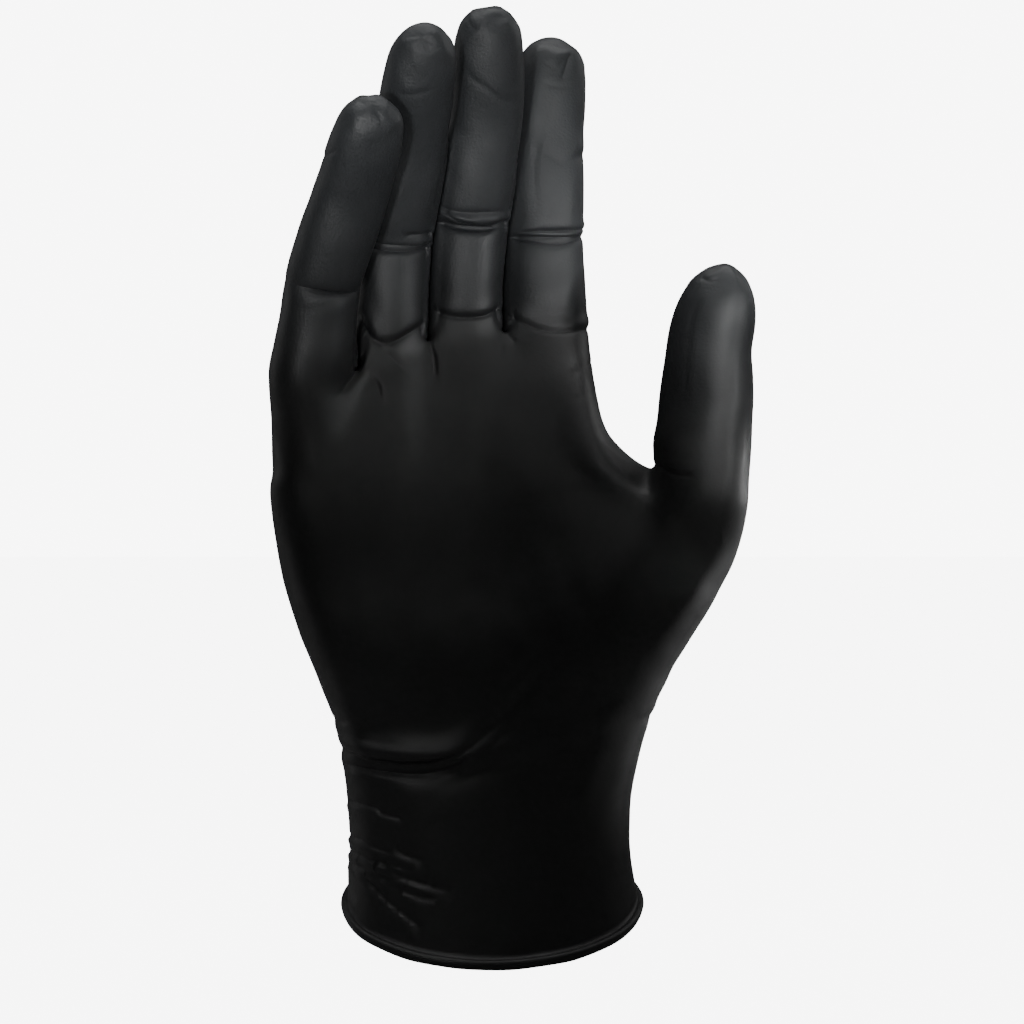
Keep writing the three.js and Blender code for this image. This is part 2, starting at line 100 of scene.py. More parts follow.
# As shares of a finger's length: its joints, how far a bend spreads, and how far the root's shape lasts.
JOINTS = (0, 0.34, 0.66)
JOINT_SPREAD = 0.12
ROOT_LENGTH = 0.42

# Sections of the cuff, wrist and palm under the thumb's web, and the last one at the web: the height, how
# far each side has come from the wrist's to the palm's, the depth in front and behind, the roundness, how
# far the middle cups and turns, how much of the cuff's slant there is, how far the front is pinched, and
# how far it bows upwards. Heights are shares of the palm's length, and depths of the palm's depth.
PALM_COLUMNS = ("rise", "ulnar", "radial", "front", "back", "round", "cup", "turn", "tilt", "pinch", "bow")
PALM_SECTIONS = [
    (0, 0.02, 0.07, 0.76, 0.76, 2, 0, 0, 1, 0, 0),
    (0.15, 0, 0.01, 0.74, 0.72, 2.2, 0, 0, 0.58, 0, 0.016),
    (0.262, 0.05, 0.18, 0.73, 0.67, 2.3, 0, 0, 0.22, -0.0125, 0.044),
    (0.298, 0.1, 0.31, 0.73, 0.64, 2.4, 0, 0, 0.14, 0.044, 0.056),
    (0.33, 0.15, 0.38, 0.74, 0.62, 2.5, 0, 0, 0.08, -0.025, 0.056),
    (0.372, 0.22, 0.46, 0.73, 0.6, 2.5, 0, -0.031, 0.04, 0.031, 0.05),
    (0.46, 0.48, 0.6, 0.72, 0.56, 2.5, -0.0625, -0.0625, 0, 0, 0.031),
    (0.55, 0.74, 0.77, 0.66, 0.53, 2.5, -0.125, -0.094, 0, 0, 0.016),
    (0.64, 0.91, 0.93, 0.6, 0.51, 2.5, -0.1875, -0.125, 0, 0, 0.006),
    (0.735, 1, 1, 0.52, 0.5, 2.5, -0.219, -0.0625, 0, 0, 0),
]
PALM_SECTIONS = [dict(zip(PALM_COLUMNS, row)) for row in PALM_SECTIONS]
# Where across a section the pinch ends, and where its bow is centred.
PINCH_END = (-0.5, 0.2)
BOW_CENTRE = -0.5
CUFF_FRONT = PALM_DEPTH * PALM_SECTIONS[0]["front"]
CUFF_BACK = PALM_DEPTH * PALM_SECTIONS[0]["back"]
# Sections between the web and the fingers' bases: how far each has come to them, up, across and in depth.
KNUCKLE_SECTIONS = [(0.2, 0.58, 0.12), (0.45, 0.83, 0.3), (0.74, 0.94, 0.62)]
# Pads of the palm: place across and up, reach and height.
PADS = [(0.41, 0.5375, 0.325, 0.156), (-0.458, 0.525, 0.289, 0.125), (-0.048, 0.7, 0.241, -0.109)]
FINGER_POINTS = 8
FINGER_ROUNDNESS = 2.2
# Shares across the lower sections of the points that lead to the thumb, and of the web beside them.
THUMB_SHARES = (1, 0.93, 0.78)
WEB_SHARE = 0.66
BEAD_RADIUS = BEAD_DIAMETER / 2
BEAD_START = math.acos(FILM / BEAD_RADIUS - 1)
BEAD_REACH = BEAD_RADIUS * (1 + math.sin(BEAD_START))
# Steps of a finger's centreline, and rounds of fitting the cage.
LINE_STEPS = 80
FIT_ROUNDS = 12


def mix(a, b, t):
    return a + (b - a) * t


def smooth(value, low, high):
    t = np.clip((value - low) / (high - low), 0, 1)
    return t * t * (3 - 2 * t)


def unit(v):
    return v / np.maximum(np.linalg.norm(v, axis=-1, keepdims=True), 1e-12)


class Cage:
    """Points, each with its part of the hand, and four-sided faces that turn anticlockwise from outside."""

    def __init__(self):
        self.points, self.parts, self.faces = [], [], []

    def add(self, point, part):
        self.points.append(np.array(point, float))
        self.parts.append(part)
        return len(self.points) - 1

    def sew(self, lower, upper):
        count = len(lower)
        for i in range(count):
            j = (i + 1) % count
            self.faces.append((lower[i], lower[j], upper[j], upper[i]))


# The digits come first, and the fingers in the order of their table.
PARTS = ("index", "middle", "ring", "little", "thumb", "palm")
DIGITS = len(PARTS) - 1
cage = Cage()


def centreline(finger, base):
    """Where a finger's middle is and which way it points, at a share of its length."""

    def bend(angles, share):
        total = 0
        for i, angle in enumerate(angles):
            start = JOINTS[i] - (JOINT_SPREAD / 2 if i else JOINT_SPREAD)
            total += angle * smooth(share, start, start + JOINT_SPREAD)
        return math.radians(total)

    middles, alongs = [], []
    middle = np.array(base, float)
    for i in range(LINE_STEPS + 1):
        curl, lean = bend(finger["curl"], i / LINE_STEPS), bend(finger["lean"], i / LINE_STEPS)
        along = unit(np.array([math.sin(lean), -math.tan(curl), math.cos(lean)]))
        middles.append(middle)
        alongs.append(along)
        middle = middle + along * finger["length"] * FINGER_LENGTH / LINE_STEPS

    def place(share):
        i = min(int(share * LINE_STEPS), LINE_STEPS - 1)
        rest = share * LINE_STEPS - i
        return mix(middles[i], middles[i + 1], rest), unit(mix(alongs[i], alongs[i + 1], rest))

    return place


def finger_section(finger, place, section):
    """A finger's section: points 0 on the thumb's side, 2 behind, 4 on the other side and 6 in front."""
    at, wide, deep, crease = section
    middle, along = place
    side = unit(np.array([1.0, 0, 0]) - along * along[0])
    turn = math.radians(mix(finger["seat"], finger["turn"], smooth(at, 0, ROOT_LENGTH)))
    side = side * math.cos(turn) + np.cross(along, side) * math.sin(turn)
    back = np.cross(along, side)
    width = HAND_WIDTH * finger["width"] * wide * mix(finger["root"], 1, smooth(at, 0, ROOT_LENGTH))
    depth = FINGER_DEPTH * finger["depth"] * deep
    points = []
    for i in range(FINGER_POINTS):
        angle = i / FINGER_POINTS * 2 * math.pi
        c, s = math.cos(angle), math.sin(angle)
        bulge = (abs(c) ** FINGER_ROUNDNESS + abs(s) ** FINGER_ROUNDNESS) ** (-1 / FINGER_ROUNDNESS)
        draw = 1 - 2 * crease * max(0, -s)
        points.append(middle + side * c * bulge * width / 2 + back * s * bulge * draw * depth / 2)
    return points


def grow_finger(finger, line, sections, base):
    lower = base
    for section in sections[1:]:
        points = finger_section(finger, line(section[0]), section)
        upper = [cage.add(point, finger["name"]) for point in points]
        cage.sew(lower, upper)
        lower = upper
    tip = cage.add(line(1)[0], finger["name"])
    for i in range(0, FINGER_POINTS, 2):
        cage.faces.append((lower[i], lower[i + 1], lower[(i + 2) % FINGER_POINTS], tip))


bases = []
for i, finger in enumerate(FINGERS):
    before, after = max(i - 1, 0), min(i, len(FINGERS) - 2)
    finger["seat"] = (FINGERS[before]["arch"] + FINGERS[after]["arch"]) / 2
    if i == 0:
        bases.append(np.zeros(3))
        continue
    neighbour = FINGERS[i - 1]
    widths = [f["width"] * f["root"] for f in (neighbour, finger)]
    apart = HAND_WIDTH * (sum(widths) / 2 + neighbour["gap"])
    arch = math.radians(neighbour["arch"])
    bases.append(bases[-1] + apart * np.array([-math.cos(arch), -math.sin(arch), 0]))
to_middle = np.array([HAND_WIDTH * MIDDLE_OUT, 0, 0]) - bases[1]
for i, finger in enumerate(FINGERS):
    bases[i] = bases[i] + to_middle
    bases[i][2] = PALM_LENGTH - FINGER_LENGTH * finger["drop"]
finger_lines = [centreline(finger, base) for finger, base in zip(FINGERS, bases)]
finger_bases = [finger_section(f, line(0), FINGER_SECTIONS[0]) for f, line in zip(FINGERS, finger_lines)]
PLACE_SIZES = np.array([HAND_WIDTH, -PALM_DEPTH, PALM_LENGTH])
web_point = THUMB_WEB * PLACE_SIZES
thumb_line = centreline(THUMB, THUMB_PLACE * PLACE_SIZES)
thumb_loop = finger_section(THUMB, thumb_line(0), THUMB_SECTIONS[0])
ulnar_side = finger_bases[-1][4][0] - HAND_WIDTH * LITTLE_SPREAD
thumb_side = max(point[0] for point in thumb_loop)


def palm_point(section, left, right, across, facing):
    """A point of a palm section, at a share across, from -1 on the little finger's side to 1."""
    x = mix(left, right, (across + 1) / 2)
    z = section["rise"] * PALM_LENGTH
    middle = section["cup"] * across**2 + section["turn"] * across
    half = (1 - abs(across) ** section["round"]) ** (1 / section["round"]) if abs(across) < 1 else 0
    swell = 0
    for out, rise, reach, height in PADS:
        away = math.hypot(x - HAND_WIDTH * out, z - PALM_LENGTH * rise) / (HAND_WIDTH * reach)
        swell += height * math.exp(-(away**2))
    pinch = section["pinch"] * (1 - smooth(across, *PINCH_END))
    if facing < 0:
        y = PALM_DEPTH * (middle - half * (section["front"] + swell - pinch))
        bow = section["bow"] * (across - BOW_CENTRE) ** 2
    else:
        y = PALM_DEPTH * (middle + half * section["back"])
        ends = [section["bow"] * (share - BOW_CENTRE) ** 2 for share in (-1, 1)]
        bow = mix(ends[0], ends[1], (across + 1) / 2)
    slant = BEAD_REACH + CUFF_RISE * (y + CUFF_FRONT) / (CUFF_FRONT + CUFF_BACK)
    return np.array([x, y, z + PALM_LENGTH * bow + section["tilt"] * slant])


# The columns of the palm's points go up to the points of the fingers' bases.
column_x = []
for k, loop in enumerate(finger_bases):
    if k == 0:
        column_x.append((loop[1][0] + loop[7][0]) / 2)
    column_x.append((loop[2][0] + loop[6][0]) / 2)
    outer = (loop[3][0] + loop[5][0]) / 2
    if k < len(FINGERS) - 1:
        following = finger_bases[k + 1]
        outer = (outer + (following[1][0] + following[7][0]) / 2) / 2
    column_x.append(outer)
index_side = finger_bases[0][0][0]
column_share = [mix(-1, 1, (x - ulnar_side) / (index_side - ulnar_side)) for x in column_x]


def lower_loop(section, left, right):
    shares = [mix(-1, WEB_SHARE, (share + 1) / 2) for share in column_share]
    across = [(share, 1) for share in (*THUMB_SHARES, *shares, -1)]
    across += [(share, -1) for share in (*reversed(shares), THUMB_SHARES[2], THUMB_SHARES[1])]
    return [palm_point(section, left, right, share, facing) for share, facing in across]


lower_loops = []
for section in PALM_SECTIONS[:-1]:
    left = mix(-WRIST_WIDTH / 2, ulnar_side, section["ulnar"])
    right = mix(WRIST_WIDTH / 2, thumb_side, section["radial"])
    lower_loops.append([cage.add(point, "palm") for point in lower_loop(section, left, right)])
for lower, upper in zip(lower_loops, lower_loops[1:]):
    cage.sew(lower, upper)

split = PALM_SECTIONS[-1]
palm_loop = [web_point]
palm_loop += [palm_point(split, ulnar_side, web_point[0], share, 1) for share in (*column_share, -1)]
palm_loop += [palm_point(split, ulnar_side, web_point[0], share, -1) for share in reversed(column_share)]
palm_loop[1] = mix(palm_loop[1], thumb_loop[3], 0.5)
palm_loop[-1] = mix(palm_loop[-1], thumb_loop[5], 0.5)
palm_ring = [cage.add(point, "palm") for point in palm_loop]
shared = {3: palm_ring[1], 4: palm_ring[0], 5: palm_ring[-1]}
thumb_ring = [shared[i] if i in shared else cage.add(point, "palm") for i, point in enumerate(thumb_loop)]
cage.sew(lower_loops[-1], [*thumb_ring[:3], *palm_ring[1:], *thumb_ring[6:]])
grow_finger(THUMB, thumb_line, THUMB_SECTIONS, thumb_ring)

# Neighbouring fingers share the points between them, which lie lower, as webs.
socket = [[point.copy() for point in loop] for loop in finger_bases]
for k in range(len(FINGERS) - 1):
    for i, j, drop in ((3, 1, WEB_BACK), (4, 0, WEB_MIDDLE), (5, 7, WEB_FRONT)):
        middle = (socket[k][i] + socket[k + 1][j]) / 2
        middle[2] -= PALM_LENGTH * drop
        socket[k][i] = socket[k + 1][j] = middle
socket_rings = []
for k, loop in enumerate(socket):
    taken = {0: 4, 1: 3, 7: 5} if k else {}
    ring = []
    for i, point in enumerate(loop):
        ring.append(socket_rings[k - 1][taken[i]] if i in taken else cage.add(point, "palm"))
    socket_rings.append(ring)
top_ring = [socket_rings[0][0], socket_rings[0][1]]
for ring in socket_rings:
    top_ring += [ring[2], ring[3]]
top_ring += [socket_rings[-1][4], socket_rings[-1][5]]
for ring in reversed(socket_rings):
    top_ring += [ring[6], ring[7]]

below = palm_ring
for rise, draw, sink in KNUCKLE_SECTIONS:
    ring = []
    for low, high in zip(palm_ring, top_ring):
        a, b = cage.points[low], cage.points[high]
        ring.append(cage.add([mix(a[0], b[0], draw), mix(a[1], b[1], sink), mix(a[2], b[2], rise)], "palm"))
    cage.sew(below, ring)
    below = ring
cage.sew(below, top_ring)
for finger, line, ring in zip(FINGERS, finger_lines, socket_rings):
    grow_finger(finger, line, FINGER_SECTIONS, ring)


def quarters(faces, middles, centres):
    """The four quads that each face splits into, at the points midway along its edges and at its centre."""
    return [
        np.stack([faces[:, i], middles[:, i], centres, middles[:, i - 1]], axis=1)
        for i in range(4)
    ]


class Net:
    """The neighbours of each point of a four-sided mesh."""

    def __init__(self, faces, count):
        self.faces, self.count = faces, count
        a, b = faces, np.roll(faces, -1, axis=1)
        keys = np.minimum(a, b) * count + np.maximum(a, b)
        unique, inverse, uses = np.unique(keys.ravel(), return_inverse=True, return_counts=True)
        self.edges = np.stack([unique // count, unique % count], axis=1)
        self.face_edges = inverse.reshape(faces.shape)
        self.open = uses == 1
        self.valence = np.bincount(self.edges.ravel(), minlength=count)[:, None].astype(float)
        self.rim = np.zeros(count, bool)
        self.rim[self.edges[self.open].ravel()] = True

    def to_points(self, targets, values):
        total = np.zeros((self.count, values.shape[1]))
        np.add.at(total, targets, values)
        return total

    def neighbours(self, points, only=None):
        low, high = (self.edges if only is None else self.edges[only]).T
        return self.to_points(low, points[high]) + self.to_points(high, points[low])

    def limit(self, points):
        """Where the smooth surface passes nearest to each point."""
        n = self.valence
        across = sum(self.to_points(self.faces[:, i], points[self.faces[:, (i + 2) % 4]]) for i in range(4))
        inside = (points * n * n + 4 * self.neighbours(points) + across) / (n * (n + 5))
        edge = (4 * points + self.neighbours(points, self.open)) / 6
        return np.where(self.rim[:, None], edge, inside)

    def subdivide(self, points):
        """One step of Catmull-Clark subdivision: new points and faces."""
        n = self.valence
        centres = points[self.faces].mean(axis=1)
        middles = points[self.edges].mean(axis=1)
        beside = np.zeros_like(middles)
        for i in range(4):
            np.add.at(beside, self.face_edges[:, i], centres)
        edge_points = np.where(self.open[:, None], middles, (middles + beside / 2) / 2)
        middle_sum = self.to_points(self.edges[:, 0], middles) + self.to_points(self.edges[:, 1], middles)
        centre_sum = sum(self.to_points(self.faces[:, i], centres) for i in range(4))
        moved = (points * (n - 3) + 2 * middle_sum / n + centre_sum / n) / n
        edge = (6 * points + self.neighbours(points, self.open)) / 8
        moved = np.where(self.rim[:, None], edge, moved)
        first_edge, first_face = self.count, self.count + len(self.edges)
        centre = first_face + np.arange(len(self.faces))
        quads = quarters(self.faces, first_edge + self.face_edges, centre)
        return np.concatenate([moved, edge_points, centres]), np.stack(quads, axis=1).reshape(-1, 4)


def fitted_cage():
    """The cage's points, moved until the smooth surface passes through their places, with part weights."""
    targets = np.array(cage.points)
    net = Net(np.array(cage.faces), len(targets))
    points = targets.copy()
    for _ in range(FIT_ROUNDS):
        points += targets - net.limit(points)
    weights = np.array([[part == name for name in PARTS] for part in cage.parts], float)
    return np.hstack([points, weights]), net


def refined(levels):
    """Points and weights of the smooth surface after some steps of subdivision."""
    points, net = fitted_cage()
    for _ in range(levels):
        points, faces = net.subdivide(points)
        net = Net(faces, len(points))
    return net.limit(points), net


def outwards(points, faces):
    """The direction out of the surface at each point."""
    a, b, c, d = (points[faces[:, i]] for i in range(4))
    normals = unit(np.cross(c - a, d - b))
    total = np.zeros_like(points)
    for i in range(4):
        np.add.at(total, faces[:, i], normals)
    return unit(total)


def rim_of(net):
    """The points of the open edge in order."""
    following = {}
    for i in range(4):
        for face in net.faces[net.open[net.face_edges[:, i]]]:
            following[face[i]] = face[(i + 1) % 4]
    rim = [next(iter(following))]
    while following[rim[-1]] != rim[0]:
        rim.append(following[rim[-1]])
    return np.array(rim)


# The camera stands level before the palm, and the folds are measured in the plane y = 0 as it sees them.
CAMERA = np.array([5.83, -1000.0, 113.4])
FIELD = 259.6

# Folds of the film: the part that has them, how deep and wide the crease is (a thin raised line where the
# depth is negative), how high and wide the roll beside it is (above or left of the line, or on its other
# side where it is negative), the share of the length over which it fades at each end, and the line as
# points (x, z). Millimetres.
FOLD_COLUMNS = ("part", "depth", "width", "roll", "reach", "fade", "line")
FOLDS = [
    # Middle finger, from the tip down.
    ("middle", 0.25, 0.6, 0.1, 1.2, 0.3,
     [(-7, 228), (-4.5, 223.5), (-1, 221), (3, 218), (7.5, 217), (10, 219)]),
    ("middle", 0.15, 0.5, 0.1, 1, 0.3, [(-6, 240), (-4, 236), (0, 235)]),
    ("middle", 0.15, 0.5, 0.1, 1, 0.3, [(-1, 239), (2, 236), (6, 236)]),
    ("middle", 0.15, 0.5, 0, 0.8, 0.5, [(-10.5, 211), (-6, 209), (-3, 209)]),
    ("middle", 0.15, 0.5, 0, 0.8, 0.5, [(-11, 205), (-8, 204), (-5, 204)]),
    ("middle", 0.15, 0.5, 0, 0.8, 0.5, [(-12, 199), (-9, 198), (-7, 198)]),
    ("middle", 0.5, 0.6, -0.35, 0.9, 0,
     [(-16, 194), (-13, 192), (-10, 190), (-6, 189.2), (0, 189.3), (6, 189.6)]),
    ("middle", 0.78, 0.7, 0.45, 1, 0,
     [(-15, 187.5), (-12, 186.8), (-8, 185.6), (-2, 185.1), (2, 186), (6, 188)]),
    ("middle", 0.4, 0.45, 0.25, 0.7, 0.2, [(-14, 191.5), (-11, 189.3), (-8, 187.4), (-2, 185.6)]),
    ("middle", 0.6, 0.7, 0.45, 1.5, 0, [(-17, 166), (-12.5, 163.8), (-8, 162.7), (-1.5, 162.9), (3, 165)]),
    # Index finger.
    ("index", 0.45, 0.6, 0.15, 1.5, 0.25, [(21, 231), (19.5, 226), (18, 222)]),
    ("index", 0.2, 0.5, 0.2, 1.2, 0.3, [(12.5, 222.5), (16, 221.5), (22, 221)]),
    ("index", 0.15, 0.5, 0.15, 1.2, 0.3, [(13, 228), (17, 226), (19.5, 229)]),
    ("index", 0.3, 0.9, 0.35, 2, 0.15, [(10, 206), (14, 204.5), (19, 202), (24, 204), (26, 204.5)]),
    ("index", 0.12, 0.5, 0.12, 0.9, 0.2, [(18, 221), (15.5, 214), (12.5, 206), (11.5, 198), (13, 186)]),
    ("index", 0.12, 0.4, 0.1, 0.8, 0.3, [(17, 193), (15, 189), (13.5, 186)]),
    ("index", 0.75, 0.7, 0.45, 1.1, 0, [(5, 183), (10, 182.5), (17, 181.5), (22, 182.5), (27, 184.5)]),
    ("index", 0.5, 0.5, 0.25, 0.9, 0.1, [(7, 184.2), (12, 184.6), (18, 184.6), (23, 185), (28, 185.8)]),
    ("index", 0.5, 0.7, 0.4, 1.5, 0, [(2, 165), (7, 162), (13, 159.5), (19, 159), (28, 160)]),
    ("index", 0.4, 0.5, 0.15, 0.8, 0.3, [(3, 162), (4.5, 159), (7.5, 155.5)]),
    ("index", 0.2, 0.4, 0.1, 0.8, 0.2, [(20, 148), (24, 150), (27, 152)]),
    ("index", 0.15, 0.4, 0.1, 0.8, 0.2, [(20, 141), (24, 143), (28, 144)]),
    # Ring finger.
    ("ring", 0.2, 0.6, 0.15, 1.2, 0.3, [(-22, 233), (-18, 234), (-13, 231.5)]),
    ("ring", 0.15, 0.6, 0.15, 1, 0.3, [(-17, 231), (-14, 230.5), (-11, 232)]),
    ("ring", 0.2, 0.5, 0.15, 1, 0.3, [(-24, 219), (-18, 219.5), (-13, 221)]),
    ("ring", 0.15, 0.5, 0.1, 1, 0.3, [(-25, 219), (-22, 215), (-20, 214)]),
    ("ring", 0.64, 0.7, 0.6, 1.1, 0,
     [(-31, 180.5), (-26, 179.8), (-21, 179.5), (-16, 180.3), (-11, 181.8)]),
    ("ring", 0.4, 0.5, 0.2, 0.9, 0.25, [(-23, 183.2), (-17, 183.8), (-12, 184.8), (-8, 186)]),
    ("ring", 0.65, 0.8, 0.4, 1.5, 0,
     [(-33, 163), (-30.5, 158.5), (-28, 156.5), (-24, 156.5), (-17, 160.5)]),
    # Little finger.
    ("little", 0.2, 0.6, 0.2, 1.3, 0.3, [(-31, 217), (-28, 214), (-27, 210)]),
    ("little", 0.12, 0.6, 0.12, 1.2, 0.3, [(-36, 218), (-31, 217), (-26, 218)]),
    ("little", 0.35, 0.5, 0.1, 1, 0.3, [(-43, 203), (-40, 204.5), (-38, 205)]),
    ("little", 0.1, 0.6, 0.1, 1.8, 0.25, [(-50, 166), (-46, 164.5), (-40, 166), (-35, 168)]),
    # Webs between the fingers and the creases of the palm.
    ("palm", 0.6, 0.7, 0.35, 1, 0.25, [(-32.5, 156), (-33, 150), (-35.5, 146), (-38.5, 142)]),
    ("palm", 0.5, 0.5, 0.3, 1, 0.5, [(-32, 151), (-30, 148), (-28, 145), (-27.5, 139)]),
    ("palm", 0.3, 0.5, 0.3, 1.2, 0.45, [(-30, 158), (-25, 153), (-21, 149), (-17, 145)]),
    ("palm", 0.1, 0.6, 0.1, 1.2, 0.4, [(-28, 157), (-23, 150), (-17.5, 143), (-16, 138)]),
    ("palm", 0.6, 0.45, 0.2, 0.9, 0.5, [(-17, 160), (-14, 153), (-13.5, 144)]),
    ("palm", 0.2, 0.5, 0.15, 1, 0.35, [(3, 157), (3, 154), (2, 151)]),
    ("palm", 0.08, 0.6, 0.06, 1.2, 0.4, [(-20, 129), (-9, 128.5), (-2, 127), (5, 124)]),
    ("palm", 0.08, 0.6, -0.05, 1.2, 0.45, [(-20, 140), (-19, 134), (-17, 128)]),
    # Thumb.
    ("thumb", 0.12, 0.5, 0.12, 1, 0.2, [(56, 173), (51.5, 163), (50, 150), (49.5, 138)]),
    ("thumb", 0.25, 0.5, 0.15, 1, 0.3, [(53, 173), (56, 172), (59, 173)]),
    ("thumb", 0.5, 0.6, 0.3, 1.2, 0.2, [(40, 126), (44, 124.5), (47, 123), (53, 122.5)]),
    ("thumb", -0.14, 0.45, 0, 1, 0.3, [(36, 121.5), (43, 113.5), (49, 104), (52, 99)]),
    ("thumb", -0.12, 0.45, 0, 1, 0.3, [(54, 117), (58, 110), (60, 102)]),
    ("thumb", -0.12, 0.45, 0, 1, 0.3, [(58, 121), (61, 120.5), (65, 119)]),
    ("thumb", -0.1, 0.45, 0, 1, 0.3, [(58, 131), (61, 133), (65, 136)]),
    ("thumb", -0.1, 0.45, 0, 1, 0.3, [(51, 90), (52.5, 88), (55, 86)]),
    # Heel of the hand and wrist.
    ("palm", 0.8, 0.9, -0.45, 1.6, 0.1,
     [(-42, 57.5), (-37, 53), (-30, 50), (-19, 49), (-10, 50.5), (-3, 55)]),
    ("palm", 0.5, 1.4, 0.45, 2.6, 0.3, [(-14, 50), (-7, 52), (0, 57.5), (6, 63.5), (13, 71), (19, 77)]),
    ("palm", 0.25, 1.2, 0.2, 2, 0.35, [(-12, 46), (-4, 50), (3, 56), (9, 62)]),
    ("palm", 0.7, 0.9, -0.4, 1.4, 0.15,
     [(-38, 50), (-29, 48), (-20, 47), (-13, 47.5), (-7, 49.5), (-3, 53)]),
    ("palm", 0.2, 0.8, -0.2, 1.5, 0.3, [(-36, 56.5), (-28, 55), (-21, 54.5)]),
    ("palm", 0.2, 1, -0.2, 1.5, 0.35, [(-26, 46), (-18, 45), (-11, 46.5)]),
    ("palm", 0.15, 1, 0.15, 2, 0.35, [(-4, 66), (4, 72), (13, 81)]),
    ("palm", 0.15, 1, 0.15, 2, 0.35, [(2, 63), (9, 69), (19, 78)]),
    ("palm", 0.45, 0.5, -0.42, 0.8, 0.15, [(-37, 40.5), (-29, 38.5), (-27, 37), (-21, 35.5)]),
    ("palm", 0.45, 0.5, -0.42, 0.7, 0.15, [(-38, 33), (-28, 28), (-22, 26), (-18, 24)]),
    ("palm", 0.45, 0.5, -0.42, 0.65, 0.15, [(-38, 29), (-31, 25.5), (-24, 24), (-18, 21.5)]),
    ("palm", 0.45, 0.5, -0.42, 0.65, 0.15, [(-37, 25.5), (-28, 21), (-21, 20), (-11, 17)]),
    ("palm", 0.45, 0.5, -0.42, 0.65, 0.15, [(-30, 26), (-24, 22), (-18, 19.5), (-8, 16.5)]),
    ("palm", 0.45, 0.5, -0.42, 0.65, 0.15, [(-29, 20.5), (-22, 17.5), (-17, 15.5), (-12, 15.5)]),
    ("palm", 0.45, 0.5, -0.42, 0.65, 0.15, [(-25, 28.5), (-20, 26), (-16, 24.5)]),
    ("palm", 0.45, 0.5, -0.42, 0.7, 0.2, [(-34, 23.5), (-28, 17), (-23, 12.5), (-15, 6)]),
    ("palm", 0.25, 0.5, -0.2, 0.7, 0.25, [(-36, 18), (-31, 13), (-25, 9.5)]),
    ("palm", 0.12, 0.5, -0.1, 0.8, 0.3, [(-9, 37), (-17, 33.5), (-25, 30)]),
    ("palm", 0.3, 0.7, 0, 1, 0.3, [(-33.5, 12.5), (-28, 9), (-23, 6), (-17, 3), (-7, 0.5)]),
    ("palm", 0.3, 0.8, 0.3, 1.5, 0.35, [(0, 0), (9, 1.5), (15, 5.5), (20.5, 8)]),
    ("palm", 0.4, 0.7, 0.2, 1.2, 0.2, [(39, 60), (41.5, 62), (44, 63)]),
    ("palm", 0.35, 0.7, -0.2, 1, 0.3, [(-41, 62), (-38, 60.5), (-35, 60)]),
]
# Plain folds of the back, which the camera doesn't see, in the same columns.
BACK_FOLDS = [
    ("palm", 0.35, 1, 0.25, 1.6, 0.3, [(-34, 52), (-20, 47), (-2, 46), (14, 50)]),
    ("palm", 0.3, 0.9, 0.25, 1.5, 0.3, [(-30, 58), (-14, 55), (4, 57), (22, 63)]),
    ("palm", 0.25, 0.7, 0.15, 1.2, 0.3, [(-33, 38), (-24, 35), (-12, 37)]),
    ("palm", 0.25, 0.7, 0.15, 1.2, 0.3, [(30, 44), (20, 40), (8, 41)]),
    ("middle", 0.25, 0.6, 0.15, 1, 0.2, [(-14, 188), (-5, 187), (5, 188)]),
    ("middle", 0.2, 0.6, 0.15, 1, 0.2, [(-13, 191.5), (-5, 191), (5, 191.5)]),
    ("index", 0.25, 0.6, 0.15, 1, 0.2, [(7, 185), (16, 184), (25, 185)]),
    ("index", 0.2, 0.6, 0.15, 1, 0.2, [(7, 188.5), (16, 188), (25, 188.5)]),
    ("ring", 0.25, 0.6, 0.15, 1, 0.2, [(-30, 184), (-22, 183), (-13, 184)]),
    ("ring", 0.2, 0.6, 0.15, 1, 0.2, [(-30, 187.5), (-22, 187), (-13, 187.5)]),
    ("little", 0.15, 0.7, 0.1, 1.2, 0.3, [(-48, 168), (-42, 167), (-35, 168)]),
    ("thumb", 0.25, 0.6, 0.15, 1, 0.2, [(46, 150), (55, 149), (64, 150)]),
]
# Steps between two points of a line, and the sharpness of a crease, where 2 is a round one.
LINE_DETAIL = 6
CREASE_SHARPNESS = 1.15
# How far a roll stands off its crease, in its own widths, and how far the finer mesh goes, in the crease's.
ROLL_PLACE = 0.9
DETAIL_REACH = 2.2
# How far a point has to face the folds' side, and belong to their part, to have them.
FACING_SIDE = (-0.45, 0.1)
OWN_SHARE = (0.3, 0.8)
# The deepest that a fold goes, because the inside lies beneath.
MOST_DEPTH = 0.64
# Soft swells all over: how many, how high, how long, which shares of that they have, and their seed.
WAVES, WAVE_HEIGHT, WAVE_LENGTH, WAVE_STRETCH, WAVE_SEED = 24, 0.05, 9.0, (0.7, 2.2), 4
# Puckers of the fingertips: height, distance from the tip, length, and the noise value that stays level.
CRUMPLE, CRUMPLE_REACH, CRUMPLE_LENGTH, CRUMPLE_LEVEL = 1.1, 9.0, 5.0, 0.25
# Distances from the bead at which relief starts, and at which its finer mesh ends, and how fine that is.
RIM_FADE = (0.7, 2.4)
RIM_REACH = (2, 4)
RIM_DETAIL = 0.3


def picture_place(points):
    """Where points are seen in the plane y = 0: across and up."""
    near = -CAMERA[1] / (points[:, 1] - CAMERA[1])
    return CAMERA[[0, 2]] + (points[:, [0, 2]] - CAMERA[[0, 2]]) * near[:, None]


